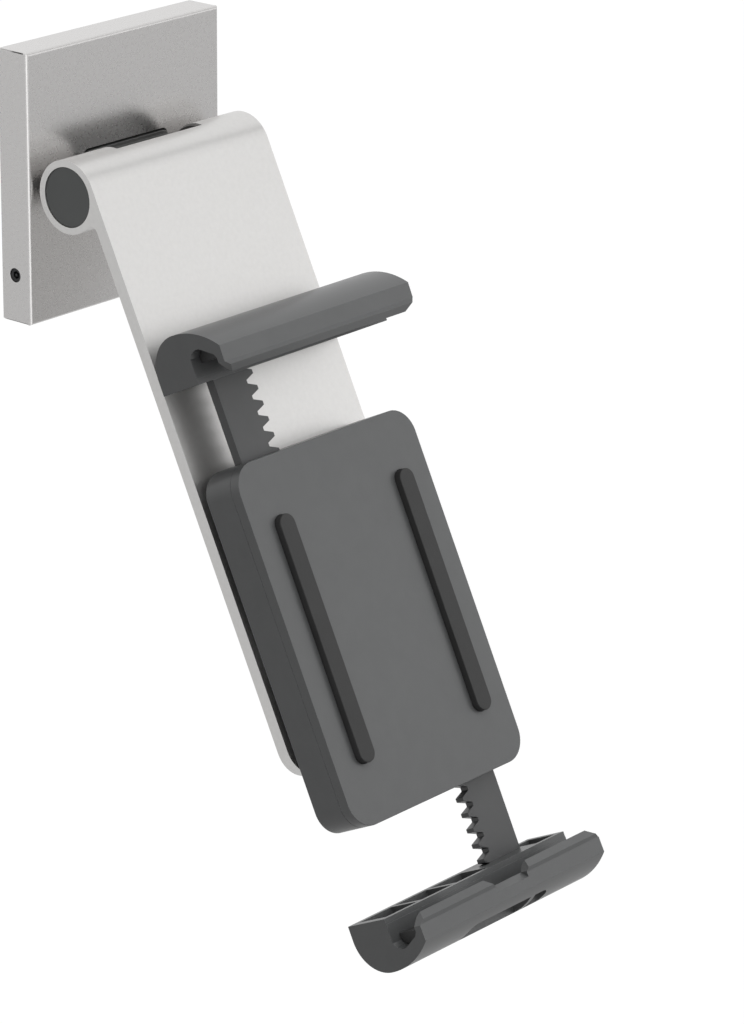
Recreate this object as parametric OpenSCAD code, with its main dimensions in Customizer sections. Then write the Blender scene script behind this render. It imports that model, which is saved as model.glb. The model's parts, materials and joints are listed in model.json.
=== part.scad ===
// Wall mount for a flat device: a folded wall cover, a tilting extruded arm and a
// turning holder whose two hooked jaws open together on racks and a pinion.
// Frame: wall plane at Y = 0, +Y into the wall, +X right, +Z up, origin at the wall screws' centre.

/* [Wall bracket] */
// Thickness of the bracket's steel sheet
bracket_t = 2.5; // [2:0.1:4]
// Distance between the wall screw holes, both ways
wall_hole_pitch = 48; // [40:1:56]
// Diameter of a wall screw hole
wall_hole_d = 5.5; // [4:0.1:6.5]
// Depth of the bracket's side flanges
bracket_flange_d = 9.5; // [8:0.1:9.8]

/* [Cover] */
// Width of the cover
cover_w = 80; // [74:0.5:100]
// Height of the cover
cover_h = 80; // [74:0.5:100]
// Depth of the cover
cover_d = 11.3; // [11:0.1:16]
// Thickness of the cover's sheet
cover_t = 0.8; // [0.6:0.1:1]
// Outer radius of the cover's bends
cover_bend_r = 1; // [1:0.1:2.5]
// Radius of the corners of the window in the cover
window_r = 2.2; // [1:0.1:4]
// Diameter of the hole for the cover's screw
cover_hole_d = 4.2; // [3.6:0.1:5]
// Distance of the cover's screw from the cover's lower edge
cover_screw_rise = 14; // [8:0.25:18]

/* [Hinge] */
// Width of the hinge knuckle's foot
foot_w = 34.4; // [26:0.2:40]
// Height of the hinge knuckle's foot
foot_h = 14.6; // [12.6:0.2:17]
// Height of the knuckle's neck inside the tube's notch
neck_h = 12.4; // [10:0.1:12.4]
// Radius of the hinge bolt
shaft_r = 4; // [3:0.1:4.5]
// Gap between the tube and the cover's front
tube_gap = 1.5; // [0.5:0.1:2.5]
// Tilt of the arm from the vertical, as it stands
tilt = 26; // [0:1:70]

/* [Arm] */
// Width of the arm
arm_w = 74.2; // [70:0.2:90]
// Outer radius of the hinge tube
tube_r = 10.8; // [10.5:0.1:12.5]
// Wall of the hinge tube
tube_wall = 2; // [1.6:0.1:2.4]
// Thickness of the flat strip
strip_t = 3.9; // [3:0.1:5]
// Radius of the fillet between the tube and the strip
strip_fillet_r = 2.5; // [1.5:0.1:4]
// Distance from the hinge axis to the holder's turning axis
spin_drop = 141.2; // [132:0.2:160]
// Length of the strip beyond the turning axis
strip_tail = 36; // [33:0.5:45]
// Radius of the strip's lower corners
strip_corner_r = 9; // [2:0.5:16]

/* [Turntable] */
// Radius of the turntable's flange
base_r = 31; // [29:0.5:34]
// Thickness of the turntable's flange
base_t = 3; // [2.5:0.1:3.2]
// Radius of the journal that the holder turns on
journal_r = 9; // [7.5:0.1:10]
// Radius of the circle of the turntable's screws
base_screw_pcr = 20; // [15:0.5:20.5]
// Distance of the click balls from the turning axis
ball_pcr = 25; // [24.5:0.1:26]

/* [Holder] */
// Width of the holder's housing
holder_w = 76; // [74:0.5:90]
// Length of the holder's housing
holder_l = 108; // [100:1:112]
// Wall of the housing
shell_t = 2.2; // [1.6:0.1:2.6]
// Thickness of the front plate
front_t = 3.4; // [2.4:0.1:3.4]
// Radius of the housing's corners
holder_corner_r = 8; // [4:0.5:12]

/* [Racks and pinion] */
// Size of a gear tooth (module)
gear_m = 1.5; // [1.5:0.05:1.6]
// Number of teeth on the pinion
pinion_teeth = 18; // [17:1:19]
// Play between the teeth, measured along the pitch line
backlash = 0.16; // [0.08:0.01:0.3]
// Thickness of a rack
rack_t = 3; // [2.5:0.1:3.2]
// Outer edge of a rack from the middle
rack_edge = 28; // [27:0.1:28.4]

/* [Jaws] */
// Width of a jaw
jaw_w = 80.9; // [78:0.1:100]
// Distance from the turning axis to the crown of a jaw
jaw_reach = 94.3; // [92:0.1:100]
// Radius of the jaw's back
jaw_back_r = 10.8; // [9:0.1:12]
// Height of the block behind the hook, from the crown
jaw_block_h = 15.3; // [14:0.1:17]
// Width of the notch in the lower lip, at its mouth
lip_notch_w = 18.8; // [12:0.2:30]
// Width of the cable opening in the lower jaw
cable_w = 31; // [20:0.5:40]
// Travel of each jaw either way from here
jaw_travel = 22; // [15:0.5:22]

/* [Hidden] */
$fn = 48;
running = 0.05;
gap = 0.3;
eps = 0.01;

// Hinge axis, and the planes of the arm measured along the strip's front normal
axis_y = -(cover_d + tube_gap + tube_r);
bore_r = tube_r - tube_wall;
strip_front = tube_r;
strip_back = strip_front - strip_t;

// Knuckle, notch and the parts on the hinge bolt, measured along X from the middle
foot_proud = 0.7;
foot_front_y = -(cover_d + foot_proud);
barrel_r = bore_r - 0.4;
barrel_w = foot_w - 0.4;
washer_t = 0.6;
notch_w = barrel_w + 2 * washer_t + 2 * gap;
notch_from = 57;
notch_to = 231;
washer_r = tube_r - 0.5;
bush_in = barrel_w / 2 + washer_t;
left_bush_l = 12;
right_bush_l = 7;
spring_t = 0.8;
spring_cone = 0.5;
spring_pitch = spring_t + spring_cone;
spring_count = 3;
nut_h = 4.6;
head_h = 3.4;
cap_recess = 0.3;
cap_t = 1.8;
cap_skirt = 1.2;
grub_r = 2;

// Cover's window and screw
window_w = foot_w + 1;
window_h = foot_h + 1;
cover_screw_y = -5.1;
cover_screw_drop = cover_h / 2 - cover_screw_rise;
bracket_w = cover_w - 2 * cover_t - 2 * gap;
bracket_h = cover_h - 2 * cover_t - 6;
relief_w = 0.4;
relief_l = 3 * cover_bend_r;
relief_from = cover_d - cover_bend_r - 0.4;

// Turntable and housing, heights along the strip's front normal
base_top = strip_front + base_t;
base_screw_l = strip_t + base_t - 0.5;
shell_bottom = base_top + gap;
floor_top = shell_bottom + shell_t;
wave_t = 0.8;
journal_top = floor_top + wave_t + 0.1;
retainer_t = 1.5;
retainer_r = journal_r + 4;
rack_z = journal_top + retainer_t + 0.6;
rack_top = rack_z + rack_t;
shell_top = rack_top + 2;
front_top = shell_top + 0.05 + front_t;
ball_r = 1.5;
ball_sink = 0.3;
dimple_t = 0.2;
ledge_in = 20;
rail_w = 2;
rail_in = rack_edge + gap;
boss_x = holder_w / 2 - shell_t - 3;
boss_y = holder_l / 2 - shell_t - 4;
boss_r = 3;
strip_pad_t = 2.6;
seat_t = 0.4;
strip_pad_x = holder_w / 2 - 12;
strip_pad_w = 6;
strip_pad_l = holder_l - 34;
guide_x = rack_edge - 5;
guide_w = 2;
guide_l = holder_l - 20;

// Gear train
pitch_r = gear_m * pinion_teeth / 2;
tooth_pitch = PI * gear_m;
pressure_angle = 20;
gear_tip_r = pitch_r + gear_m;
gear_root_r = pitch_r - 1.25 * gear_m;
gear_base_r = pitch_r * cos(pressure_angle);
pin_r = 4;
rack_tail = holder_l / 2 - shell_t - jaw_travel - 1.8;

// Jaw section, in distances from the turning axis (v) and from the hinge plane (n)
jaw_back = shell_bottom + 0.1;
crown_n = jaw_back + jaw_back_r;
hook_w = 16.8;
ridge_drop = 6.85;
ridge_n = crown_n + hook_w;
ridge_v = jaw_reach - ridge_drop;
front_arc_r = (pow(hook_w, 2) + pow(ridge_drop, 2)) / (2 * ridge_drop);
block_v = jaw_reach - jaw_block_h;
roof_t = 5.9;
pocket_w = 10.15;
pocket_back = crown_n + 4.1;
pocket_v = jaw_reach - roof_t;
lip_in = pocket_back + pocket_w;
lip_t = 2.95;
lip_v = jaw_reach - 9.9;
tip_v = jaw_reach - 14.7;
device_v = jaw_reach - 9.95;
pad_short = 3.5;
notch_slope = 2.3;
lip_notch_v = jaw_reach - 11.8;
lip_notch_fall = 1.7;
lip_chamfer = 3.3;
cable_depth = 8.6;
cable_corner_r = 3;
cable_flare = 4;
cable_rib_x = -10;
cable_rib_t = 1.9;
core_v = block_v + 7.5;
core_wall = 2;
core_rib_t = 1.8;

// Extrudes a section drawn in (Y, Z) along X, centred on the middle.
module along_x(w) {
    translate([-w / 2, 0, 0]) rotate([90, 0, 90]) linear_extrude(w) children();
}

// Turned part or hole along X, from x0 over length l.
module rod_x(x0, l, r, sides = 48) {
    translate([x0, 0, 0]) rotate([0, 90, 0]) cylinder(h = l, r = r, $fn = sides);
}

// Rectangle with round corners, centred.
module rounded(w, h, r) {
    square([w - 2 * r, h], center = true);
    square([w, h - 2 * r], center = true);
    for (x = [-1, 1], y = [-1, 1]) translate([x * (w / 2 - r), y * (h / 2 - r)]) circle(r);
}

// Section of a folded sheet's outside: flat at Y = 0, both front corners bent to radius r.
module folded(w, d, r) {
    translate([-w / 2, -d + r]) square([w, d - r]);
    translate([-w / 2 + r, -d]) square([w - 2 * r, d]);
    for (x = [-1, 1]) translate([x * (w / 2 - r), -d + r]) circle(r);
}

// The hinge axis' frame: Y up along the strip, Z out of the strip's front.
module arm_frame() {
    translate([0, axis_y, 0]) rotate([90 - tilt, 0, 0]) children();
}

// The turning axis' frame: as the arm's, with its origin at the holder's centre.
module spin_frame() {
    arm_frame() translate([0, -spin_drop, 0]) children();
}

// Countersunk screw with its head's face at Z = 0, pointing down.
module countersunk(r, l, head_r, head_l) {
    rotate_extrude() polygon([[0, 0], [head_r, 0], [r, -head_l], [r, -l], [0, -l]]);
}

// Room for such a screw: the same shape with the running clearance all round.
module countersunk_room(r, l, head_r, head_l) {
    rotate_extrude() polygon([[0, eps], [head_r + running, eps], [head_r + running, 0],
        [r + running, -head_l], [r + running, -l], [0, -l]]);
}

// Cover

module cover_outside(w, h, d, r) {
    intersection() {
        translate([0, 0, -h / 2]) linear_extrude(h) folded(w, d, r);
        along_x(w) rotate(-90) folded(h, d, r);
    }
}

module cover() {
    color("#a9a8a7")
    difference() {
        cover_outside(cover_w, cover_h, cover_d, cover_bend_r);
        translate([0, eps, 0]) cover_outside(cover_w - 2 * cover_t, cover_h - 2 * cover_t,
            cover_d - cover_t + eps, cover_bend_r - cover_t);
        rotate([90, 0, 0]) linear_extrude(cover_d + 1) rounded(window_w, window_h, window_r);
        translate([-cover_w / 2 - 1, cover_screw_y, -cover_screw_drop])
            rod_x(0, cover_t + 2, cover_hole_d / 2);
        for (x = [-1, 1], z = [-1, 1])
            translate([x * cover_w / 2, 1 - relief_from / 2, z * cover_h / 2]) rotate([0, -x * z * 45, 0])
                cube([2 * relief_l, relief_from + 2, relief_w], center = true);
    }
}

module cover_screw() {
    head_r = cover_hole_d / 2 - 0.1;
    color("#3c3d3e")
    translate([-cover_w / 2 + 0.5, cover_screw_y, -cover_screw_drop])
    difference() {
        rod_x(0, cover_t + gap + bracket_t + 1, head_r);
        difference() {
            rod_x(-1, 2.2, head_r * 0.62, 6);
            rod_x(-1, 2.2, head_r * 0.2);
        }
    }
}

// Wall bracket and hinge knuckle

module knuckle_screw_places() {
    for (x = [-1, 1]) translate([x * foot_w * 0.3, 0, 0]) rotate([-90, 0, 0]) children();
}

module wall_bracket() {
    bend = bracket_t + 1;
    color("#404143")
    difference() {
        translate([0, 0, -bracket_h / 2]) linear_extrude(bracket_h) difference() {
            mirror([0, 1]) translate([0, bracket_flange_d]) folded(bracket_w, bracket_flange_d, bend);
            mirror([0, 1]) translate([0, bracket_flange_d + eps])
                folded(bracket_w - 2 * bracket_t, bracket_flange_d - bracket_t + eps, bend - bracket_t);
        }
        for (x = [-1, 1], z = [-1, 1])
            translate([x * wall_hole_pitch / 2, 1, z * wall_hole_pitch / 2]) rotate([90, 0, 0])
                cylinder(h = bracket_t + 2, r = wall_hole_d / 2);
        knuckle_screw_places() countersunk_room(2, bracket_t + 1, 4, 2);
        translate([-bracket_w / 2 - 1, cover_screw_y, -cover_screw_drop])
            rod_x(0, bracket_t + 2, cover_hole_d / 2 - 0.1 + running);
    }
}

module hinge_knuckle() {
    foot_l = -foot_front_y - bracket_t;
    neck_l = -axis_y + foot_front_y;
    color("#5b5d5e")
    difference() {
        union() {
            translate([0, -bracket_t, 0]) rotate([90, 0, 0])
                linear_extrude(foot_l) rounded(foot_w, foot_h, window_r - 0.5);
            along_x(barrel_w) translate([axis_y, 0]) {
                circle(barrel_r);
                translate([0, -neck_h / 2]) square([neck_l + 1, neck_h]);
            }
        }
        translate([0, axis_y, 0]) rod_x(-barrel_w, 2 * barrel_w, shaft_r + running);
        knuckle_screw_places() countersunk_room(2, bracket_t + 7, 4, 2);
    }
}

module knuckle_screws() {
    color("#77797a")
    knuckle_screw_places() countersunk(2, bracket_t + 6, 4, 2);
}

// Arm

// The extrusion's section: hinge tube, strip tangent to its front, and the fillet behind.
// The fillet starts a little inside both faces, so that it has no knife edge there.
module arm_section() {
    fillet_z = strip_back - strip_fillet_r;
    fillet_y = -sqrt(pow(tube_r + strip_fillet_r, 2) - pow(fillet_z, 2));
    start_a = atan2(fillet_z, fillet_y) - 2.5;
    start = (tube_r + strip_fillet_r) * [cos(start_a), sin(start_a)];
    difference() {
        union() {
            circle(tube_r, $fn = 96);
            translate([-spin_drop - strip_tail, strip_back]) square([spin_drop + strip_tail, strip_t]);
            difference() {
                polygon([[0, 0], [0, strip_back + 1], [fillet_y + 0.6, strip_back + 1], start]);
                translate([fillet_y, fillet_z]) circle(strip_fillet_r);
            }
        }
        circle(bore_r, $fn = 96);
    }
}

// Sector of the tube that the notch takes away; angles from the front, over the top, to the back.
module notch_sector(from, to) {
    far = 2 * tube_r;
    steps = 6;
    polygon(concat([[0, 0]],
        [for (i = [0 : steps]) let (a = from + (to - from) * i / steps) far * [sin(a), cos(a)]]));
}

module strip_end_round() {
    translate([0, -spin_drop - strip_tail, strip_back - 1])
    for (x = [-1, 1]) translate([x * arm_w / 2, 0, 0]) linear_extrude(strip_t + 2) difference() {
        square(2 * strip_corner_r, center = true);
        translate([-x * strip_corner_r, strip_corner_r]) circle(strip_corner_r);
    }
}

module grub_places() {
    for (x = [-bush_in - 6, bush_in + 3.5]) translate([x, 0, 0]) rotate([90 + 70, 0, 0]) children();
}

module base_screw_places() {
    for (a = [45 : 90 : 315]) rotate(a) translate([base_screw_pcr, 0, strip_back])
        rotate([180, 0, 0]) children();
}

module arm_profile() {
    color("#d6d5d3")
    arm_frame()
    difference() {
        along_x(arm_w) arm_section();
        along_x(notch_w) notch_sector(notch_from, notch_to);
        strip_end_round();
        grub_places() cylinder(h = 2 * tube_r, r = grub_r + running);
        translate([0, -spin_drop, 0]) base_screw_places() countersunk_room(2, strip_t + 1, 4, 2);
    }
}

module end_cap(side) {
    outer = arm_w / 2 - cap_recess;
    color("#4b4d4c")
    arm_frame() mirror([side > 0 ? 0 : 1, 0, 0])
    difference() {
        rod_x(outer - cap_t - cap_skirt, cap_t + cap_skirt, bore_r - running, 96);
        rod_x(outer - cap_t - cap_skirt - 1, cap_skirt + 1, bore_r - 1.6);
    }
}

module end_cap_left() {
    end_cap(-1);
}

module end_cap_right() {
    end_cap(1);
}

module bush(x0, l) {
    color("#b7b8b8")
    arm_frame()
    difference() {
        rod_x(x0, l, bore_r - running, 96);
        rod_x(x0 - 1, l + 2, shaft_r + running);
        grub_places() cylinder(h = 2 * tube_r, r = grub_r + running);
    }
}

module bush_left() {
    bush(-bush_in - left_bush_l, left_bush_l);
}

module bush_right() {
    bush(bush_in, right_bush_l);
}

module hinge_bolt() {
    end = bush_in + right_bush_l + spring_count * spring_pitch + nut_h + 1;
    start = -bush_in - left_bush_l;
    color("#8a8c8d")
    arm_frame() {
        rod_x(start, end - start, shaft_r);
        rod_x(start - head_h, head_h, 6.4, 6);
    }
}

module disc_springs() {
    color("#9a9c9d")
    arm_frame()
    for (i = [0 : spring_count - 1]) {
        flip = i % 2 == 0 ? 1 : -1;
        translate([bush_in + right_bush_l + (i + 0.5) * spring_pitch, 0, 0]) rotate([0, 90, 0])
            rotate_extrude() translate([0, flip * spring_cone / 2]) polygon([
                [shaft_r + running, -spring_t / 2],
                [bore_r - 0.8, -spring_t / 2 - flip * spring_cone],
                [bore_r - 0.8, spring_t / 2 - flip * spring_cone],
                [shaft_r + running, spring_t / 2]]);
    }
}

module hinge_nut() {
    x0 = bush_in + right_bush_l + spring_count * spring_pitch;
    color("#8a8c8d")
    arm_frame()
    difference() {
        rod_x(x0, nut_h, 7.4, 6);
        rod_x(x0 - 1, nut_h + 2, shaft_r + running);
    }
}

module friction_washers() {
    color("#3a3b3c")
    arm_frame()
    for (side = [-1, 1]) difference() {
        rod_x(side > 0 ? barrel_w / 2 : -bush_in, washer_t, washer_r, 96);
        rod_x(side > 0 ? barrel_w / 2 - 1 : -bush_in - 1, washer_t + 2, shaft_r + running);
        translate([side * (barrel_w / 2 + washer_t / 2), 0, 0])
            along_x(washer_t + 1) difference() {
                notch_sector(notch_to - 360, notch_from);
                circle(bore_r);
            }
    }
}

module set_screws() {
    color("#3c3d3e")
    arm_frame() grub_places() translate([0, 0, shaft_r + 0.4])
    difference() {
        cylinder(h = bore_r - shaft_r, r = grub_r);
        translate([0, 0, bore_r - shaft_r - 1.6]) cylinder(h = 3, r = 1.1, $fn = 6);
    }
}

// Turntable on the strip

module turn_base() {
    color("#b7b8b8")
    spin_frame()
    difference() {
        union() {
            translate([0, 0, strip_front]) cylinder(h = base_t, r = base_r, $fn = 96);
            translate([0, 0, strip_front]) cylinder(h = journal_top - strip_front, r = journal_r);
        }
        base_screw_places() translate([0, 0, -base_screw_l - 0.2]) cylinder(h = base_screw_l, r = 2 + running);
        translate([0, 0, base_top + ball_r - ball_sink]) {
            rotate_extrude() translate([ball_pcr, 0]) circle(ball_r + running);
            for (a = [0 : 90 : 270]) rotate(a) translate([ball_pcr, 0, 0]) sphere(ball_r + dimple_t);
        }
        retainer_screw_places() translate([0, 0, -4.5]) cylinder(h = 6, r = 1.25 + running);
    }
}

module turn_base_screws() {
    color("#77797a")
    spin_frame() base_screw_places() countersunk(2, base_screw_l, 4, 2);
}

module retainer_screw_places() {
    for (a = [0 : 120 : 240]) rotate(a) translate([journal_r * 0.55, 0, journal_top]) children();
}

module turn_retainer() {
    color("#404143")
    spin_frame()
    difference() {
        translate([0, 0, journal_top]) cylinder(h = retainer_t, r = retainer_r);
        retainer_screw_places() translate([0, 0, retainer_t])
            countersunk_room(1.25, retainer_t + 1, 2.4, 1.15);
    }
}

module retainer_screws() {
    color("#77797a")
    spin_frame() retainer_screw_places() translate([0, 0, retainer_t])
        countersunk(1.25, retainer_t + 3.8, 2.4, 1.15);
}

module wave_washer() {
    color("#9a9c9d")
    spin_frame() translate([0, 0, floor_top + 0.05])
    difference() {
        cylinder(h = wave_t, r = retainer_r - 0.5);
        translate([0, 0, -1]) cylinder(h = wave_t + 2, r = journal_r + running);
    }
}

// Holder housing

module ball_places() {
    for (x = [-1, 1]) translate([x * ball_pcr, 0, 0]) children();
}

module boss_places() {
    for (x = [-1, 1], y = [-1, 1]) translate([x * boss_x, y * boss_y, 0]) children();
}

module holder_shell() {
    h = shell_top - shell_bottom;
    color("#5f6162")
    spin_frame()
    difference() {
        union() {
            translate([0, 0, shell_bottom]) linear_extrude(h) difference() {
                rounded(holder_w, holder_l, holder_corner_r);
                rounded(holder_w - 2 * shell_t, holder_l - 2 * shell_t, holder_corner_r - shell_t);
            }
            translate([0, 0, shell_bottom]) linear_extrude(shell_t)
                rounded(holder_w - 1, holder_l - 1, holder_corner_r - 0.5);
            for (x = [-1, 1]) {
                translate([x * (ledge_in + rail_in + rail_w) / 2, 0, floor_top - eps])
                    linear_extrude(rack_z - gap - floor_top + eps)
                        square([rail_in + rail_w - ledge_in, holder_l - 2 * shell_t + 1], center = true);
                translate([x * (rail_in + rail_w / 2), 0, floor_top - eps])
                    linear_extrude(rack_top - floor_top + eps)
                        square([rail_w, holder_l - 2 * shell_t + 1], center = true);
            }
            boss_places() translate([0, 0, floor_top - eps])
                cylinder(h = shell_top - floor_top + eps, r = boss_r);
        }
        translate([0, 0, shell_bottom - 1]) cylinder(h = shell_t + 2, r = journal_r + running);
        ball_places() translate([0, 0, shell_bottom - 1])
            cylinder(h = rack_z - gap - 1 - shell_bottom + 1, r = ball_r + running);
        boss_places() translate([0, 0, shell_bottom - 1]) cylinder(h = h + 2, r = 1.5 + running);
        boss_places() translate([0, 0, shell_bottom - 1]) cylinder(h = 2.8, r = 2.9);
        for (x = [-1, 1]) translate([x * rack_mid(), -x * holder_l / 2, rack_z - gap])
            linear_extrude(rack_t + 2 * gap) square([rack_full() + 2 * gap, 3 * shell_t], center = true);
    }
}

// A rack's whole width with its teeth, and the middle of that width.
function rack_full() = rack_edge - (pitch_r - gear_m);
function rack_mid() = (rack_edge + pitch_r - gear_m) / 2;

module holder_front() {
    z0 = shell_top + 0.05;
    color("#6a6c6d")
    spin_frame()
    difference() {
        union() {
            translate([0, 0, z0]) linear_extrude(front_t) rounded(holder_w, holder_l, holder_corner_r);
            translate([0, 0, rack_z]) cylinder(h = z0 - rack_z + 1, r = pin_r);
            translate([0, 0, rack_top + gap]) cylinder(h = z0 - rack_top, r = pin_r + 3);
            for (x = [-1, 1]) translate([x * guide_x, 0, rack_top + gap])
                linear_extrude(z0 - rack_top) square([guide_w, guide_l], center = true);
        }
        boss_places() translate([0, 0, z0 - 1]) cylinder(h = front_t - 0.2, r = 1.5 + running);
        for (x = [-1, 1]) translate([x * strip_pad_x, 0, front_top - seat_t]) linear_extrude(seat_t + 1)
            rounded(strip_pad_w + 0.2, strip_pad_l + 0.2, strip_pad_w / 2);
    }
}

module shell_screws() {
    color("#77797a")
    spin_frame() boss_places() {
        translate([0, 0, shell_bottom + 0.2]) difference() {
            cylinder(h = 1.5, r = 2.8);
            translate([0, 0, -1]) cylinder(h = 2, r = 1.2, $fn = 6);
        }
        translate([0, 0, shell_bottom + 1.6]) cylinder(h = shell_top + 2 - shell_bottom - 1.6, r = 1.5);
    }
}

module click_balls() {
    color("#c9cacb")
    spin_frame() ball_places() translate([0, 0, base_top + ball_r - ball_sink]) sphere(ball_r);
}

module click_springs() {
    bottom = base_top + 2 * ball_r - ball_sink;
    color("#9a9c9d")
    spin_frame() ball_places() translate([0, 0, bottom]) cylinder(h = rack_z - gap - 1 - bottom, r = ball_r - 0.3);
}

module front_pads() {
    color("#2f3030")
    spin_frame()
    for (x = [-1, 1]) translate([x * strip_pad_x, 0, front_top - seat_t]) linear_extrude(strip_pad_t)
        rounded(strip_pad_w, strip_pad_l, strip_pad_w / 2 - eps);
}

// Gears

function involute(r_base, a) = r_base * [cos(a) + a * PI / 180 * sin(a), sin(a) - a * PI / 180 * cos(a)];
function roll_to(r_base, r) = sqrt(max(0, pow(r / r_base, 2) - 1)) * 180 / PI;
function turn(p, a) = [p.x * cos(a) - p.y * sin(a), p.x * sin(a) + p.y * cos(a)];

// One flank from the root outwards, on the upper side of a tooth that points along X.
function flank() = let (
        pitch_roll = roll_to(gear_base_r, pitch_r),
        pitch_point = involute(gear_base_r, pitch_roll),
        half = 90 / pinion_teeth - backlash / 4 / pitch_r * 180 / PI,
        back = atan2(pitch_point.y, pitch_point.x),
        tip_roll = roll_to(gear_base_r, gear_tip_r))
    concat([turn([gear_root_r, 0], half + back)],
        [for (i = [0 : 4]) let (p = involute(gear_base_r, tip_roll * i / 4)) turn([p.x, -p.y], half + back)]);

function tooth() = let (f = flank(), n = len(f))
    concat([for (i = [0 : n - 1]) [f[i].x, -f[i].y]], [for (i = [n - 1 : -1 : 0]) f[i]]);

module pinion() {
    one = tooth();
    color("#d8d4c8")
    spin_frame() translate([0, 0, rack_z])
    linear_extrude(rack_t) difference() {
        polygon([for (k = [0 : pinion_teeth - 1], p = one) turn(p, k * 360 / pinion_teeth)]);
        circle(pin_r + running);
    }
}

// Toothed edge of a rack that meshes on the side of larger X, with a space at V = 0.
module rack_shape(v0, v1) {
    half = tooth_pitch / 4 - backlash / 4;
    slope = tan(pressure_angle);
    root_x = pitch_r + 1.25 * gear_m;
    tip_x = pitch_r - gear_m;
    first = ceil(v0 / tooth_pitch + 0.5);
    last = floor(v1 / tooth_pitch - 1);
    translate([root_x, v0]) square([rack_edge - root_x, v1 - v0]);
    for (k = [first : last]) translate([0, (k + 0.5) * tooth_pitch]) polygon([
        [root_x + 1, half + slope * 1.25 * gear_m],
        [root_x, half + slope * 1.25 * gear_m],
        [tip_x, half - slope * gear_m],
        [tip_x, -half + slope * gear_m],
        [root_x, -half - slope * 1.25 * gear_m],
        [root_x + 1, -half - slope * 1.25 * gear_m]]);
}

rack_head_v = block_v + 9;

// Middle and width of each core: one outside the rack, then three on the free side.
core_from = -rack_mid() + rack_full() / 2 + 4;
core_cell = (jaw_w / 2 - core_wall - core_from) / 3;
core_end = jaw_w / 2 - core_wall - rack_edge - gap - core_rib_t;
core_cells = concat([[-jaw_w / 2 + core_wall + core_end / 2, core_end]],
    [for (i = [0 : 2]) [core_from + (i + 0.5) * core_cell, core_cell - core_rib_t]]);
jaw_screw_x = [16, 25];
jaw_screw_v = block_v + 4.5;

module jaw_screw_places() {
    for (x = jaw_screw_x) translate([-x, jaw_screw_v, 0]) children();
}

// Rack of the upper jaw; it runs on the left of the pinion.
module rack() {
    difference() {
        translate([0, 0, rack_z]) linear_extrude(rack_t) mirror([1, 0]) rack_shape(-rack_tail, rack_head_v);
        jaw_screw_places() translate([0, 0, rack_z - 1]) cylinder(h = rack_t + 2, r = 1.5 + running);
    }
}

module upper_rack() {
    color("#cfcfca")
    spin_frame() rack();
}

module lower_rack() {
    color("#cfcfca")
    spin_frame() rotate(180) rack();
}

// Jaws

// Inner line of a jaw's pocket from its back to its lip, moved inwards by d.
function pocket_line(d) = [
    [pocket_v - 2.1 - d / 3, pocket_back + d],
    [pocket_v - 0.7 - d, pocket_back + 1.1 + d / 2],
    [pocket_v - d, pocket_back + 2.9],
    [pocket_v - 0.1 - d, pocket_back + 4.4],
    [pocket_v - 2.8 - d / 2, lip_in - 0.8 - d],
    [lip_v, lip_in - d]];

// Section of a jaw in (v, n): round back, crown, sloping front, hooked lip and device pocket.
module jaw_section() {
    difference() {
        union() {
            intersection() {
                translate([jaw_reach - front_arc_r, crown_n]) circle(front_arc_r, $fn = 128);
                polygon([[block_v, crown_n], [jaw_reach + 1, crown_n],
                    [jaw_reach + 1, ridge_n + 1], [ridge_v, ridge_n], [block_v, crown_n + 1]]);
            }
            intersection() {
                translate([jaw_reach - jaw_back_r, crown_n]) circle(jaw_back_r, $fn = 96);
                translate([jaw_reach - jaw_back_r, jaw_back]) square([jaw_back_r, jaw_back_r + eps]);
            }
            translate([block_v, jaw_back]) square([jaw_block_h - jaw_back_r + eps, jaw_back_r + 4]);
            polygon([[ridge_v + 3, ridge_n - 4], [ridge_v, ridge_n], [tip_v + 3.1, ridge_n - 0.15],
                [tip_v + 1.9, ridge_n + 0.4], [tip_v, lip_in + lip_t - 2.1], [tip_v + 0.5, lip_in + 0.35],
                [tip_v + 1.3, lip_in], [lip_v, lip_in], [lip_v + 1.9, lip_in - 4]]);
        }
        polygon(concat([[block_v - 1, pocket_back]], pocket_line(0), [[block_v - 1, lip_in]]));
    }
}

// Slots and screw holes that every jaw has on its hidden side.
module rack_seat() {
    translate([-rack_mid(), block_v + 4, rack_z - 0.02]) linear_extrude(rack_t + 0.04)
        square([rack_full() + 2 * gap, 2 * (rack_head_v - block_v - 4) + 0.04], center = true);
    jaw_screw_places() translate([0, 0, jaw_back - 1]) cylinder(h = rack_top + 3 - jaw_back, r = 1.5 + running);
    jaw_screw_places() translate([0, 0, jaw_back - 1]) cylinder(h = 3, r = 2.9);
}

// Chamfers that take off the lip's outer corners.
module lip_corners() {
    for (x = [-1, 1]) translate([x * jaw_w / 2, tip_v, lip_in - 1]) linear_extrude(6)
        rotate(45) square(lip_chamfer * sqrt(2), center = true);
}

// Cores that leave the moulded block hollow behind, with ribs between them.
module jaw_cores() {
    for (c = core_cells) translate([c[0], (block_v + core_v) / 2 - 1, (jaw_back + pocket_back) / 2])
        cube([c[1], core_v - block_v + 2, pocket_back - jaw_back - 2 * core_wall], center = true);
}

module jaw_body() {
    difference() {
        along_x(jaw_w) jaw_section();
        rack_seat();
        jaw_cores();
        lip_corners();
    }
}

module upper_jaw() {
    color("#6c6e6e")
    spin_frame() jaw_body();
}

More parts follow.
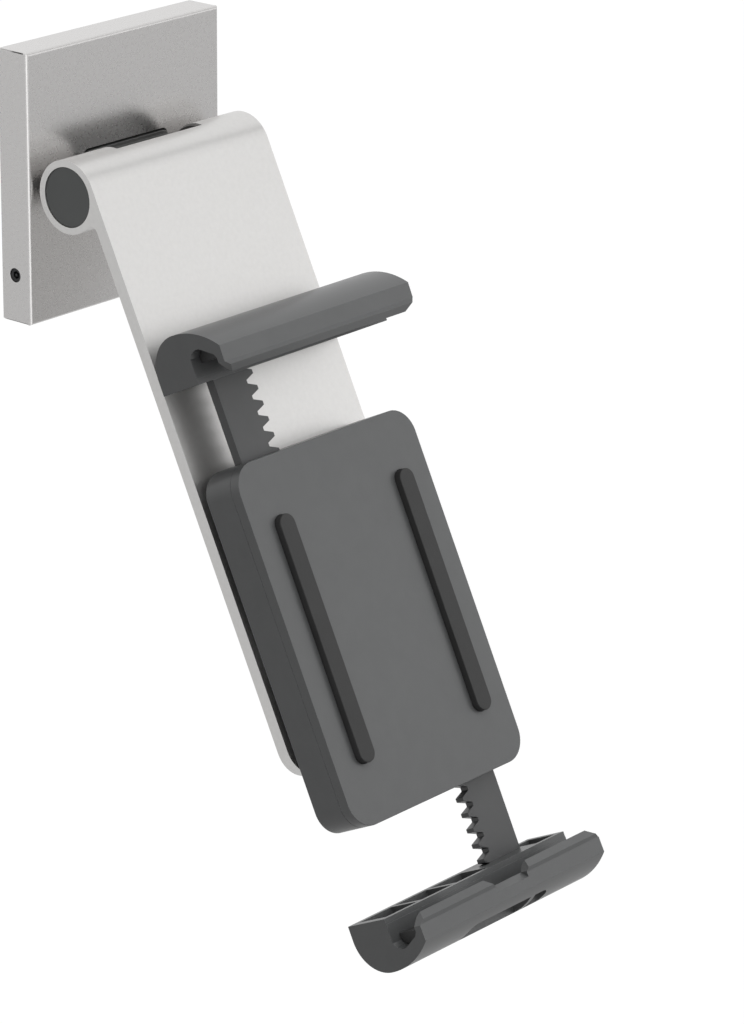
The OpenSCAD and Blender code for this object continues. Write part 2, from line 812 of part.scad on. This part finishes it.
module lower_jaw() {
    color("#6c6e6e")
    spin_frame() rotate(180) {
        difference() {
            jaw_body();
            translate([0, 0, lip_in - 1]) linear_extrude(6) polygon([
                [-lip_notch_w / 2, tip_v - 1], [lip_notch_w / 2, tip_v - 1],
                [lip_notch_w / 2, tip_v], [lip_notch_w / 2 - notch_slope, lip_notch_v],
                [-lip_notch_w / 2 + notch_slope, lip_notch_v], [-lip_notch_w / 2, tip_v]]);
            along_x(lip_notch_w - 2 * notch_slope) polygon([[tip_v - 1, lip_in - 1],
                [lip_notch_v - 0.1, lip_in - 1], [lip_notch_v, lip_in],
                [lip_notch_v + lip_notch_fall, ridge_n], [lip_notch_v + lip_notch_fall, ridge_n + 1],
                [tip_v - 1, ridge_n + 1]]);
            translate([0, pocket_v - 1, pocket_back + cable_depth / 2 + 0.5]) rotate([-90, 0, 0])
                linear_extrude(roof_t + 2) difference() {
                    rounded(cable_w + cable_flare, cable_depth, cable_corner_r);
                    translate([cable_rib_x, 0]) square([cable_rib_t, cable_depth + 1], center = true);
                }
        }
    }
}

// Lining of a pocket, from the device's edge to the pocket's bottom.
module pad_section() {
    line = pocket_line(running);
    last = len(line) - 2;
    polygon(concat([[device_v, line[0].y]], [for (i = [0 : last]) line[i]], [[device_v, line[last].y]]));
}

module upper_pad() {
    color("#2f3030")
    spin_frame() along_x(jaw_w - 2 * pad_short) pad_section();
}

module lower_pads() {
    pad_len = (jaw_w - cable_w) / 2 - pad_short - cable_flare;
    color("#2f3030")
    spin_frame() rotate(180)
    for (x = [-1, 1]) translate([x * ((jaw_w - pad_len) / 2 - pad_short), 0, 0]) along_x(pad_len) pad_section();
}

module jaw_screws() {
    jaw_screw_places() {
        translate([0, 0, jaw_back + 0.3]) difference() {
            cylinder(h = 1.6, r = 2.8);
            translate([0, 0, -1]) cylinder(h = 2, r = 1.2, $fn = 6);
        }
        translate([0, 0, jaw_back + 1.8]) cylinder(h = rack_top + 1.5 - jaw_back - 1.8, r = 1.5);
    }
}

module upper_jaw_screws() {
    color("#77797a")
    spin_frame() jaw_screws();
}

module lower_jaw_screws() {
    color("#77797a")
    spin_frame() rotate(180) jaw_screws();
}

wall_bracket();
hinge_knuckle();
knuckle_screws();
cover();
cover_screw();
arm_profile();
end_cap_left();
end_cap_right();
bush_left();
bush_right();
hinge_bolt();
hinge_nut();
disc_springs();
friction_washers();
set_screws();
turn_base();
turn_base_screws();
holder_shell();
holder_front();
shell_screws();
wave_washer();
turn_retainer();
retainer_screws();
click_balls();
click_springs();
front_pads();
pinion();
upper_jaw();
upper_rack();
upper_pad();
upper_jaw_screws();
lower_jaw();
lower_rack();
lower_pads();
lower_jaw_screws();
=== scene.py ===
"""Looks of a tilting and turning wall mount with two hooked jaws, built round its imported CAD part."""

import json
import math

import bmesh
import bpy
from mathutils import Matrix, Vector


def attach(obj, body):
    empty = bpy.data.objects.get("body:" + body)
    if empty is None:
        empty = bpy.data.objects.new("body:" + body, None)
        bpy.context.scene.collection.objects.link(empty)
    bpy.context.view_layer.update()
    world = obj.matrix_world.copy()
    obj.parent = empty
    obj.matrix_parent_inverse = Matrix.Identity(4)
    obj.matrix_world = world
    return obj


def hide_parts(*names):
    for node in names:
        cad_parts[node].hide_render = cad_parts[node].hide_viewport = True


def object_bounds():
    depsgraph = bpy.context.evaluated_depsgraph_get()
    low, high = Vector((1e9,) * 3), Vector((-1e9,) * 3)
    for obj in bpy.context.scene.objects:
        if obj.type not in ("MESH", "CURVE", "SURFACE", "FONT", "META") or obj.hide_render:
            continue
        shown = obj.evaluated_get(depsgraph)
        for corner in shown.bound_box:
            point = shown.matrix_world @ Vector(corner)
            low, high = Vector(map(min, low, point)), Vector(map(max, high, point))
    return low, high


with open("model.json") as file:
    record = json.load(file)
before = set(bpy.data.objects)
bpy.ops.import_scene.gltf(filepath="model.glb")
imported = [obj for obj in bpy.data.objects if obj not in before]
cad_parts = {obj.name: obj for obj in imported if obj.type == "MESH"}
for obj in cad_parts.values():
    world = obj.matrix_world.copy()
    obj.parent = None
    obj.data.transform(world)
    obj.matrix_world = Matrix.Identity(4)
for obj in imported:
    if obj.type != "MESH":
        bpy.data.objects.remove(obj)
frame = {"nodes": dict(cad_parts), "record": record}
cad_lo, cad_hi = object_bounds()

# Studio: a camera with a long lens. It stands in front of the wall, to the left and a little
# above, and looks down on the mount's left side.
camera_place = Vector((-0.9035, -0.8753, 0.3417))
camera_forward = Vector((0.71666, 0.61008, -0.33821)).normalized()
camera_up = Vector((0.2527, 0.2253, 0.9410))
camera_lens_mm = 156.13
sensor_mm = 36.0
camera_right = camera_forward.cross(camera_up).normalized()
camera_up = camera_right.cross(camera_forward).normalized()
camera_data = bpy.data.cameras.new("studio_camera")
camera_data.lens = camera_lens_mm
camera_data.sensor_width = sensor_mm
camera_data.clip_start = 0.05
camera_data.clip_end = 50.0
camera = bpy.data.objects.new("studio_camera", camera_data)
bpy.context.scene.collection.objects.link(camera)
camera.matrix_world = Matrix.Translation(camera_place) @ Matrix(
    (camera_right, camera_up, -camera_forward)).transposed().to_4x4()
bpy.context.scene.camera = camera
bpy.context.scene.view_settings.view_transform = "Standard"

# Backdrop: a white room. The camera, gloss and glass all see it as white. Its light on
# matt faces comes mostly from above, the front and the right, at the plain levels below.

def add_node(tree, kind, **values):
    """Adds a node to a tree and sets the named settings and plain inputs on it."""
    node = tree.nodes.new(kind)
    for key, value in values.items():
        if key in node.inputs:
            node.inputs[key].default_value = value
        else:
            setattr(node, key, value)
    return node


room_level = 0.60
room_slope = 0.50
room_from = Vector((0.50, -0.62, 0.60)).normalized()
world = bpy.data.worlds.new("white_room")
bpy.context.scene.world = world
world.use_nodes = True
room = world.node_tree
room.nodes.clear()
room_out = add_node(room, "ShaderNodeOutputWorld")
room_path = add_node(room, "ShaderNodeLightPath")
seen_or_gloss = add_node(room, "ShaderNodeMath", operation="MAXIMUM")
seen_any = add_node(room, "ShaderNodeMath", operation="MAXIMUM")
room_strength = add_node(room, "ShaderNodeMix", data_type="FLOAT")
room_light = add_node(room, "ShaderNodeBackground", Color=(1.0, 1.0, 1.0, 1.0))
room.links.new(room_path.outputs["Is Camera Ray"], seen_or_gloss.inputs[0])
room.links.new(room_path.outputs["Is Glossy Ray"], seen_or_gloss.inputs[1])
room.links.new(seen_or_gloss.outputs[0], seen_any.inputs[0])
room.links.new(room_path.outputs["Is Transmission Ray"], seen_any.inputs[1])
room_place = add_node(room, "ShaderNodeTexCoord")
room_side = add_node(room, "ShaderNodeVectorMath", operation="DOT_PRODUCT")
room_side.inputs[1].default_value = room_from
room_shade = add_node(room, "ShaderNodeMath", operation="MULTIPLY_ADD")
room_shade.inputs[1].default_value = room_slope
room_shade.inputs[2].default_value = room_level
room.links.new(room_place.outputs["Generated"], room_side.inputs[0])
room.links.new(room_side.outputs["Value"], room_shade.inputs[0])
room.links.new(room_shade.outputs[0], room_strength.inputs["A"])
room_strength.inputs["B"].default_value = 1.0
room.links.new(seen_any.outputs[0], room_strength.inputs["Factor"])
room.links.new(room_strength.outputs["Result"], room_light.inputs["Strength"])
room.links.new(room_light.outputs["Background"], room_out.inputs["Surface"])

# Floor: a pale painted studio floor well below the mount. It takes a faint shadow and
# is otherwise as white as the room.
floor_drop = 0.85
floor_half = 6.0
floor_grey = 0.38
floor_glow = 1.17
floor_seen_in_gloss = 0.6
floor_white_share = 0.82
floor_z = cad_lo.z - floor_drop
floor_mesh = bpy.data.meshes.new("studio_floor")
floor_mesh.from_pydata([(-floor_half, -floor_half, floor_z), (floor_half, -floor_half, floor_z),
                        (floor_half, floor_half, floor_z), (-floor_half, floor_half, floor_z)],
                       [], [(0, 1, 2, 3)])
floor = bpy.data.objects.new("studio_floor", floor_mesh)
bpy.context.scene.collection.objects.link(floor)
floor_paint = bpy.data.materials.new("pale_floor")
floor_paint.use_nodes = True
floor_tree = floor_paint.node_tree
floor_tree.nodes.clear()
floor_out = add_node(floor_tree, "ShaderNodeOutputMaterial")
floor_matt = add_node(floor_tree, "ShaderNodeBsdfDiffuse", Color=(floor_grey, floor_grey, floor_grey, 1.0))
floor_white = add_node(floor_tree, "ShaderNodeEmission", Color=(1.0, 1.0, 1.0, 1.0), Strength=floor_glow)
floor_path = add_node(floor_tree, "ShaderNodeLightPath")
floor_gloss = add_node(floor_tree, "ShaderNodeMath", operation="MULTIPLY_ADD")
floor_gloss.inputs[1].default_value = floor_seen_in_gloss
floor_seen = add_node(floor_tree, "ShaderNodeMath", operation="MAXIMUM")
floor_share = add_node(floor_tree, "ShaderNodeMath", operation="MULTIPLY")
floor_share.inputs[1].default_value = floor_white_share
floor_mix = add_node(floor_tree, "ShaderNodeMixShader")
floor_tree.links.new(floor_path.outputs["Is Glossy Ray"], floor_gloss.inputs[0])
floor_tree.links.new(floor_path.outputs["Is Camera Ray"], floor_gloss.inputs[2])
floor_tree.links.new(floor_gloss.outputs[0], floor_seen.inputs[0])
floor_tree.links.new(floor_path.outputs["Is Transmission Ray"], floor_seen.inputs[1])
floor_tree.links.new(floor_seen.outputs[0], floor_share.inputs[0])
floor_tree.links.new(floor_share.outputs[0], floor_mix.inputs[0])
floor_tree.links.new(floor_matt.outputs[0], floor_mix.inputs[1])
floor_tree.links.new(floor_white.outputs[0], floor_mix.inputs[2])
floor_tree.links.new(floor_mix.outputs[0], floor_out.inputs["Surface"])
floor_mesh.materials.append(floor_paint)

# Cards round the mount, which only gloss sees. The grey and the pale one shade the faces turned
# to the front and the left. The bright one draws the white lines along upright edges, the low
# one the light under the jaws, and the two strips the lines along folds from top to front.

def gloss_card(name, centre, size, level, roll=0.0):
    """A glowing card that faces the mount, rolled by some degrees. Only gloss sees it."""
    mesh = bpy.data.meshes.new(name)
    mesh.from_pydata([(x * size[0] / 2, y * size[1] / 2, 0.0)
                      for x, y in ((-1, -1), (1, -1), (1, 1), (-1, 1))], [], [(0, 1, 2, 3)])
    card = bpy.data.objects.new(name, mesh)
    bpy.context.scene.collection.objects.link(card)
    facing = (-Vector(centre)).to_track_quat("Z", "Y").to_matrix().to_4x4()
    card.matrix_world = Matrix.Translation(centre) @ facing @ Matrix.Rotation(math.radians(roll), 4, "Z")
    card.visible_camera = False
    card.visible_diffuse = False
    card.visible_shadow = False
    paint = bpy.data.materials.new(name)
    paint.use_nodes = True
    paint.node_tree.nodes.clear()
    ends = add_node(paint.node_tree, "ShaderNodeOutputMaterial")
    glow = add_node(paint.node_tree, "ShaderNodeEmission", Color=(1.0, 1.0, 1.0, 1.0), Strength=level)
    paint.node_tree.links.new(glow.outputs[0], ends.inputs["Surface"])
    mesh.materials.append(paint)


strip_roll_deg = 48.7
gloss_card("grey_card", centre=(0.95, -0.95, -0.42), size=(1.7, 0.95), level=0.655)
gloss_card("pale_card", centre=(-0.92, 0.90, -0.52), size=(1.5, 0.85), level=0.70)
gloss_card("bright_card", centre=(-1.15, -1.10, 0.02), size=(1.15, 1.5), level=1.6)
gloss_card("dark_strip", centre=(0.86, -0.36, 0.755), size=(0.95, 0.15), level=0.40,
           roll=strip_roll_deg)
gloss_card("bright_strip", centre=(0.90, -0.86, 0.136), size=(0.95, 0.15), level=1.8)
gloss_card("low_card", centre=(1.10, 0.78, -0.84), size=(0.8, 0.45), level=1.5)

# Wall: the small piece of it behind the cover, a dark sheet of painted shade seen through the
# cover's slits where the inside of the cover lies in shade. Only the camera sees it, and only from the
# front.
wall_half = 0.0385
wall_gap = 0.0003
# The sheet's dark grey is painted shade, not a lit wall's colour.
painted_shade_grey = 0.06
wall_y = cad_hi.y + wall_gap
wall_mesh = bpy.data.meshes.new("painted_shade_sheet")
wall_mesh.from_pydata([(-wall_half, wall_y, -wall_half), (wall_half, wall_y, -wall_half),
                       (wall_half, wall_y, wall_half), (-wall_half, wall_y, wall_half)],
                      [], [(0, 1, 2, 3)])
wall = bpy.data.objects.new("painted_shade_sheet", wall_mesh)
bpy.context.scene.collection.objects.link(wall)
wall.visible_diffuse = False
wall.visible_glossy = False
wall.visible_shadow = False
wall_paint = bpy.data.materials.new("painted_shade_sheet")
wall_paint.use_nodes = True
wall_tree = wall_paint.node_tree
wall_tree.nodes.clear()
wall_out = add_node(wall_tree, "ShaderNodeOutputMaterial")
painted_shade_matt = add_node(wall_tree, "ShaderNodeBsdfDiffuse", Color=(painted_shade_grey, painted_shade_grey, painted_shade_grey, 1.0))
wall_clear = add_node(wall_tree, "ShaderNodeBsdfTransparent")
wall_side = add_node(wall_tree, "ShaderNodeNewGeometry")
wall_mix = add_node(wall_tree, "ShaderNodeMixShader")
wall_tree.links.new(wall_side.outputs["Backfacing"], wall_mix.inputs[0])
wall_tree.links.new(painted_shade_matt.outputs[0], wall_mix.inputs[1])
wall_tree.links.new(wall_clear.outputs[0], wall_mix.inputs[2])
wall_tree.links.new(wall_mix.outputs[0], wall_out.inputs["Surface"])
wall_mesh.materials.append(wall_paint)

# Lamps: two broad soft boxes, to the right of the camera and above, aimed at the middle of the
# mount. Gloss doesn't see them.
lamp_aim = Vector((0.0, -0.06, -0.10))
for lamp_name, lamp_at, lamp_side, lamp_power in (
        ("soft_box_right", (0.75, -1.10, 0.55), 0.6, 5.0),
        ("soft_box_above", (-0.10, -0.75, 1.30), 0.9, 5.0)):
    lamp_data = bpy.data.lights.new(lamp_name, "AREA")
    lamp_data.shape = "SQUARE"
    lamp_data.size = lamp_side
    lamp_data.energy = lamp_power
    lamp = bpy.data.objects.new(lamp_name, lamp_data)
    bpy.context.scene.collection.objects.link(lamp)
    lamp.visible_glossy = False
    lamp.location = lamp_at
    lamp.rotation_euler = (lamp_aim - lamp.location).to_track_quat("-Z", "Y").to_euler()


# Shared surface effects: a grain, and the wear along edges. Each is a node group that a
# material places with its own values.

def effect(name, inputs, outputs):
    """Starts a shader node group with these named sockets and gives its ends."""
    group = bpy.data.node_groups.new(name, "ShaderNodeTree")
    for socket, kind, value in inputs:
        made = group.interface.new_socket(name=socket, in_out="INPUT", socket_type=kind)
        made.default_value = value
    for socket, kind in outputs:
        group.interface.new_socket(name=socket, in_out="OUTPUT", socket_type=kind)
    return group, group.nodes.new("NodeGroupInput"), group.nodes.new("NodeGroupOutput")


# Grain: a slow cloud that varies the tone, and a fine noise with small cells for the relief.
# One scale sets the noise and the cells, and the other the cloud.
fine_noise_share = 0.5
grain, grain_in, grain_out = effect(
    "fine_grain", [("Scale", "NodeSocketFloat", 2500.0), ("Cloud Scale", "NodeSocketFloat", 60.0)],
    [("Tone", "NodeSocketFloat"), ("Height", "NodeSocketFloat")])
grain_place = add_node(grain, "ShaderNodeTexCoord")
grain_fine = add_node(grain, "ShaderNodeTexNoise", Detail=2.0, Roughness=0.6)
grain_cells = add_node(grain, "ShaderNodeTexVoronoi", feature="SMOOTH_F1")
grain_cloud = add_node(grain, "ShaderNodeTexNoise", Detail=3.0, Roughness=0.55)
grain_sum = add_node(grain, "ShaderNodeMath", operation="MULTIPLY_ADD")
grain_sum.inputs[1].default_value = fine_noise_share
for grain_texture in (grain_fine, grain_cells, grain_cloud):
    grain.links.new(grain_place.outputs["Object"], grain_texture.inputs["Vector"])
grain.links.new(grain_in.outputs["Scale"], grain_fine.inputs["Scale"])
grain.links.new(grain_in.outputs["Scale"], grain_cells.inputs["Scale"])
grain.links.new(grain_in.outputs["Cloud Scale"], grain_cloud.inputs["Scale"])
grain.links.new(grain_fine.outputs["Fac"], grain_sum.inputs[0])
grain.links.new(grain_cells.outputs["Distance"], grain_sum.inputs[2])
grain.links.new(grain_cloud.outputs["Fac"], grain_out.inputs["Tone"])
grain.links.new(grain_sum.outputs[0], grain_out.inputs["Height"])

# Edge wear: a mask of the places where the face bends within the radius, broken up by patches.
# The two bends are cosines of the angle where wear starts and where it is full.
wear_starts_at = 0.985
wear_full_at = 0.80
wear_patches = 220.0
wear, wear_in, wear_out = effect(
    "edge_wear", [("Radius", "NodeSocketFloat", 0.0004), ("Amount", "NodeSocketFloat", 0.5)],
    [("Mask", "NodeSocketFloat")])
wear_bevel = add_node(wear, "ShaderNodeBevel", samples=4)
wear_face = add_node(wear, "ShaderNodeNewGeometry")
wear_dot = add_node(wear, "ShaderNodeVectorMath", operation="DOT_PRODUCT")
wear_range = add_node(wear, "ShaderNodeMapRange")
wear_range.inputs["From Min"].default_value = wear_starts_at
wear_range.inputs["From Max"].default_value = wear_full_at
wear_place = add_node(wear, "ShaderNodeTexCoord")
wear_patch = add_node(wear, "ShaderNodeTexNoise", Scale=wear_patches, Detail=3.0, Roughness=0.6)
wear_scaled = add_node(wear, "ShaderNodeMath", operation="MULTIPLY")
wear_mask = add_node(wear, "ShaderNodeMath", operation="MULTIPLY", use_clamp=True)
wear.links.new(wear_in.outputs["Radius"], wear_bevel.inputs["Radius"])
wear.links.new(wear_bevel.outputs["Normal"], wear_dot.inputs[0])
wear.links.new(wear_face.outputs["Normal"], wear_dot.inputs[1])
wear.links.new(wear_dot.outputs["Value"], wear_range.inputs["Value"])
wear.links.new(wear_place.outputs["Object"], wear_patch.inputs["Vector"])
wear.links.new(wear_range.outputs["Result"], wear_scaled.inputs[0])
wear.links.new(wear_patch.outputs["Fac"], wear_scaled.inputs[1])
wear.links.new(wear_scaled.outputs[0], wear_mask.inputs[0])
wear.links.new(wear_in.outputs["Amount"], wear_mask.inputs[1])
wear.links.new(wear_mask.outputs[0], wear_out.inputs["Mask"])

# Cover: a shallow box folded from 0.8 mm stainless sheet with a fine satin face. Its
# flanges meet at the corners with a narrow open slit, and a window lets the hinge through.
worn_lightening = 1.35


def finish_of(name, base, light, roughness, metallic, spread, bump, relief_depth, grain_scale, cloud_scale,
              worn):
    """A material: a base colour clouded towards a lighter one, with grain, worn edges and relief."""
    made = bpy.data.materials.new(name)
    made.use_nodes = True
    tree = made.node_tree
    shader = tree.nodes["Principled BSDF"]
    shader.inputs["Metallic"].default_value = metallic
    pattern = add_node(tree, "ShaderNodeGroup", node_tree=grain)
    pattern.inputs["Scale"].default_value = grain_scale
    pattern.inputs["Cloud Scale"].default_value = cloud_scale
    tone = add_node(tree, "ShaderNodeMix", data_type="RGBA")
    tone.inputs["A"].default_value = (*base, 1.0)
    tone.inputs["B"].default_value = (*light, 1.0)
    tree.links.new(pattern.outputs["Tone"], tone.inputs["Factor"])
    edges = add_node(tree, "ShaderNodeGroup", node_tree=wear)
    edges.inputs["Amount"].default_value = worn
    rubbed = add_node(tree, "ShaderNodeMix", data_type="RGBA")
    rubbed.inputs["B"].default_value = (*[min(1.0, c * worn_lightening) for c in light], 1.0)
    tree.links.new(edges.outputs["Mask"], rubbed.inputs["Factor"])
    tree.links.new(tone.outputs["Result"], rubbed.inputs["A"])
    tree.links.new(rubbed.outputs["Result"], shader.inputs["Base Color"])
    shine = add_node(tree, "ShaderNodeMapRange")
    shine.inputs["To Min"].default_value = roughness - spread
    shine.inputs["To Max"].default_value = roughness + spread
    tree.links.new(pattern.outputs["Tone"], shine.inputs["Value"])
    tree.links.new(shine.outputs["Result"], shader.inputs["Roughness"])
    relief = add_node(tree, "ShaderNodeBump", Strength=bump, Distance=relief_depth)
    tree.links.new(pattern.outputs["Height"], relief.inputs["Height"])
    tree.links.new(relief.outputs["Normal"], shader.inputs["Normal"])
    return made


nodes = frame["nodes"]
body_of_node = {n: b for b, members in frame["record"]["behaviour"]["bodies"].items() for n in members}
same_point = 1e-6
flat_within_deg = 0.6
sharp_from_deg = 38.0


def refined(node, finish, edge, least_angle=30.0, segments=2, weld=2e-6):
    """A piece that stands for a CAD node: its form with softened edges and smooth round faces."""
    source = nodes[node].data
    form = bmesh.new()
    form.from_mesh(source)
    bmesh.ops.remove_doubles(form, verts=form.verts, dist=weld)
    bmesh.ops.dissolve_degenerate(form, edges=form.edges, dist=same_point)
    bmesh.ops.dissolve_limit(form, angle_limit=math.radians(flat_within_deg),
                             verts=form.verts, edges=form.edges)
    sharp = [e for e in form.edges if len(e.link_faces) == 2
             and e.calc_face_angle(0.0) > math.radians(least_angle)]
    if sharp:
        bmesh.ops.bevel(form, geom=sharp, offset=edge, offset_type="OFFSET", segments=segments,
                        profile=0.5, affect="EDGES", clamp_overlap=True)
    bmesh.ops.triangulate(form, faces=[f for f in form.faces if len(f.verts) > 4])
    mesh = bpy.data.meshes.new(node + "_finished")
    form.to_mesh(mesh)
    form.free()
    mesh.polygons.foreach_set("use_smooth", [True] * len(mesh.polygons))
    mesh.set_sharp_from_angle(angle=math.radians(sharp_from_deg))
    piece = bpy.data.objects.new(node + "_finished", mesh)
    bpy.context.scene.collection.objects.link(piece)
    even = piece.modifiers.new("even_normals", "WEIGHTED_NORMAL")
    even.keep_sharp = True
    mesh.materials.append(finish)
    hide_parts(node)
    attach(piece, body_of_node[node])
    return piece


satin_steel = finish_of("satin_cover", (0.600, 0.589, 0.583), (0.675, 0.664, 0.658),
    roughness=0.28, metallic=1.0, spread=0.035, bump=0.18, relief_depth=0.00004,
    grain_scale=2600.0, cloud_scale=900.0, worn=0.0)
refined("cover", satin_steel, edge=0.00010)

# Cover screw: a security screw with a pin in its socket. It goes through the left flange
# into the bracket and holds the cover on.
black_screw = finish_of("black_screw", (0.020, 0.020, 0.021), (0.050, 0.050, 0.052),
    roughness=0.38, metallic=0.7, spread=0.06, bump=0.12, relief_depth=0.00003,
    grain_scale=3000.0, cloud_scale=400.0, worn=0.6)
refined("cover_screw", black_screw, edge=0.00012)

# Wall bracket: a black zinc-plated channel pressed from 2.5 mm steel, which the wall screws hold
# to the wall. The hinge knuckle and the cover are fixed to it. Its black is also painted shade:
# it keeps the cover's slits dark, like the shade inside the cover.
black_zinc_and_painted_shade = finish_of("black_zinc", (0.045, 0.045, 0.047), (0.11, 0.11, 0.115),
    roughness=0.36, metallic=0.8, spread=0.08, bump=0.15, relief_depth=0.00005,
    grain_scale=1400.0, cloud_scale=260.0, worn=0.4)
refined("wall_bracket", black_zinc_and_painted_shade, edge=0.0003)

# Hinge knuckle: a die-cast foot, neck and barrel in one piece with a dark satin coating,
# screwed to the bracket from behind. The bolt goes through its barrel.
knuckle_coat = finish_of("knuckle_coat", (0.13, 0.13, 0.128), (0.19, 0.19, 0.187),
    roughness=0.36, metallic=0.85, spread=0.05, bump=0.18, relief_depth=0.00005,
    grain_scale=1900.0, cloud_scale=150.0, worn=0.5)
refined("hinge_knuckle", knuckle_coat, edge=0.00035)

# Small screws: zinc-plated steel with countersunk or socket heads. They hold the knuckle, the
# turntable, the retainer, the shell and the jaws, and the bolt and its nut close the hinge.
screw_steel = finish_of("screw_steel", (0.36, 0.37, 0.38), (0.56, 0.57, 0.58),
    roughness=0.30, metallic=1.0, spread=0.06, bump=0.12, relief_depth=0.00003,
    grain_scale=2600.0, cloud_scale=500.0, worn=0.5)
for screw in ("knuckle_screws", "turn_base_screws", "retainer_screws", "hinge_bolt", "hinge_nut"):
    refined(screw, screw_steel, edge=0.00012)
for screw in ("shell_screws", "upper_jaw_screws", "lower_jaw_screws"):
    refined(screw, screw_steel, edge=0.0001)

# Arm: one length of extruded aluminium, tube and strip together, blasted fine and
# anodised silver. The tube is milled open over the knuckle.
silver_anodised = finish_of("silver_anodised", (0.640, 0.633, 0.623), (0.710, 0.703, 0.693),
    roughness=0.36, metallic=0.92, spread=0.03, bump=0.12, relief_depth=0.00003,
    grain_scale=3600.0, cloud_scale=700.0, worn=0.0)
refined("arm_profile", silver_anodised, edge=0.00042, least_angle=40.0, segments=3, weld=0.00007)

# End caps: two moulded plugs of dark plastic. Each is pressed into an end of the arm's tube
# and hides the bolt behind it.
cap_plastic = finish_of("cap_plastic", (0.066, 0.070, 0.069), (0.082, 0.086, 0.085),
    roughness=0.42, metallic=0.0, spread=0.05, bump=0.20, relief_depth=0.00004,
    grain_scale=2400.0, cloud_scale=120.0, worn=0.3)
for cap in ("end_cap_left", "end_cap_right"):
    refined(cap, cap_plastic, edge=0.00035, segments=3)

# Hinge bushes and turntable: turned from aluminium bar. The bushes are locked in the tube on
# both sides of the knuckle, and the turntable is screwed to the arm's strip.
turned_metal = finish_of("turned_aluminium", (0.52, 0.52, 0.52), (0.72, 0.72, 0.72),
    roughness=0.28, metallic=1.0, spread=0.06, bump=0.12, relief_depth=0.00004,
    grain_scale=2000.0, cloud_scale=180.0, worn=0.4)
for turned in ("bush_left", "bush_right", "turn_base"):
    refined(turned, turned_metal, edge=0.0002)

# Disc springs, wave washer, balls and click springs: polished spring steel, bought in. The disc
# springs press the hinge together, and the washer and the balls sit between holder and turntable.

def coated(node, finish):
    """Gives a CAD node that stays as it is its finish."""
    nodes[node].data.materials.clear()
    nodes[node].data.materials.append(finish)


spring_steel = finish_of("spring_steel", (0.40, 0.40, 0.40), (0.60, 0.60, 0.60),
    roughness=0.20, metallic=1.0, spread=0.05, bump=0.08, relief_depth=0.00002,
    grain_scale=3000.0, cloud_scale=400.0, worn=0.4)
for sprung in ("disc_springs", "wave_washer", "click_balls", "click_springs"):
    coated(sprung, spring_steel)

# Friction washers and set screws: steel with a black oxide, inside the tube. The washers rub
# on the knuckle's barrel, and the set screws lock the bushes.
oiled_steel = finish_of("oiled_steel", (0.13, 0.127, 0.124), (0.20, 0.197, 0.193),
    roughness=0.34, metallic=0.9, spread=0.06, bump=0.12, relief_depth=0.00003,
    grain_scale=2400.0, cloud_scale=300.0, worn=0.4)
for black in ("friction_washers", "set_screws"):
    refined(black, oiled_steel, edge=0.0001)

# Retainer: a disc of black zinc-plated steel. Three screws fix it on the turntable's journal,
# and it keeps the holder on the arm.
refined("turn_retainer", black_zinc_and_painted_shade, edge=0.0002)

# Holder shell and front: two mouldings of dark grey plastic with a fine spark finish. Four
# screws join them round the pinion and the racks.
grey_plastic = finish_of("grey_plastic", (0.068, 0.070, 0.071), (0.084, 0.086, 0.087),
    roughness=0.34, metallic=0.0, spread=0.04, bump=0.22, relief_depth=0.00004,
    grain_scale=2400.0, cloud_scale=180.0, worn=0.10)
refined("holder_shell", grey_plastic, edge=0.0003)
refined("holder_front", grey_plastic, edge=0.0006, segments=3)

# Pinion and racks: dark glass-filled plastic, moulded. The racks hang on the jaws' backs
# and run in the shell on either side of the pinion.
gear_plastic = finish_of("gear_plastic", (0.040, 0.041, 0.042), (0.060, 0.061, 0.062),
    roughness=0.34, metallic=0.0, spread=0.05, bump=0.15, relief_depth=0.00004,
    grain_scale=1800.0, cloud_scale=90.0, worn=0.2)
for geared in ("pinion", "upper_rack", "lower_rack"):
    refined(geared, gear_plastic, edge=0.00015, least_angle=50.0, segments=1)

# Jaws: moulded in the same dark grey plastic, each with a hooked lip over a lined pocket. Two
# screws fix each jaw to its rack.
for jaw in ("upper_jaw", "lower_jaw"):
    refined(jaw, grey_plastic, edge=0.00045, least_angle=24.0, segments=3)

# Pads: strips of soft black rubber, glued on the holder's front and as linings inside the
# jaws' pockets.
pad_rubber = finish_of("pad_rubber", (0.014, 0.014, 0.014), (0.028, 0.028, 0.028),
    roughness=0.62, metallic=0.0, spread=0.08, bump=0.35, relief_depth=0.00006,
    grain_scale=1500.0, cloud_scale=110.0, worn=0.15)
refined("front_pads", pad_rubber, edge=0.0005, segments=3)
for pad in ("upper_pad", "lower_pads"):
    refined(pad, pad_rubber, edge=0.0003)
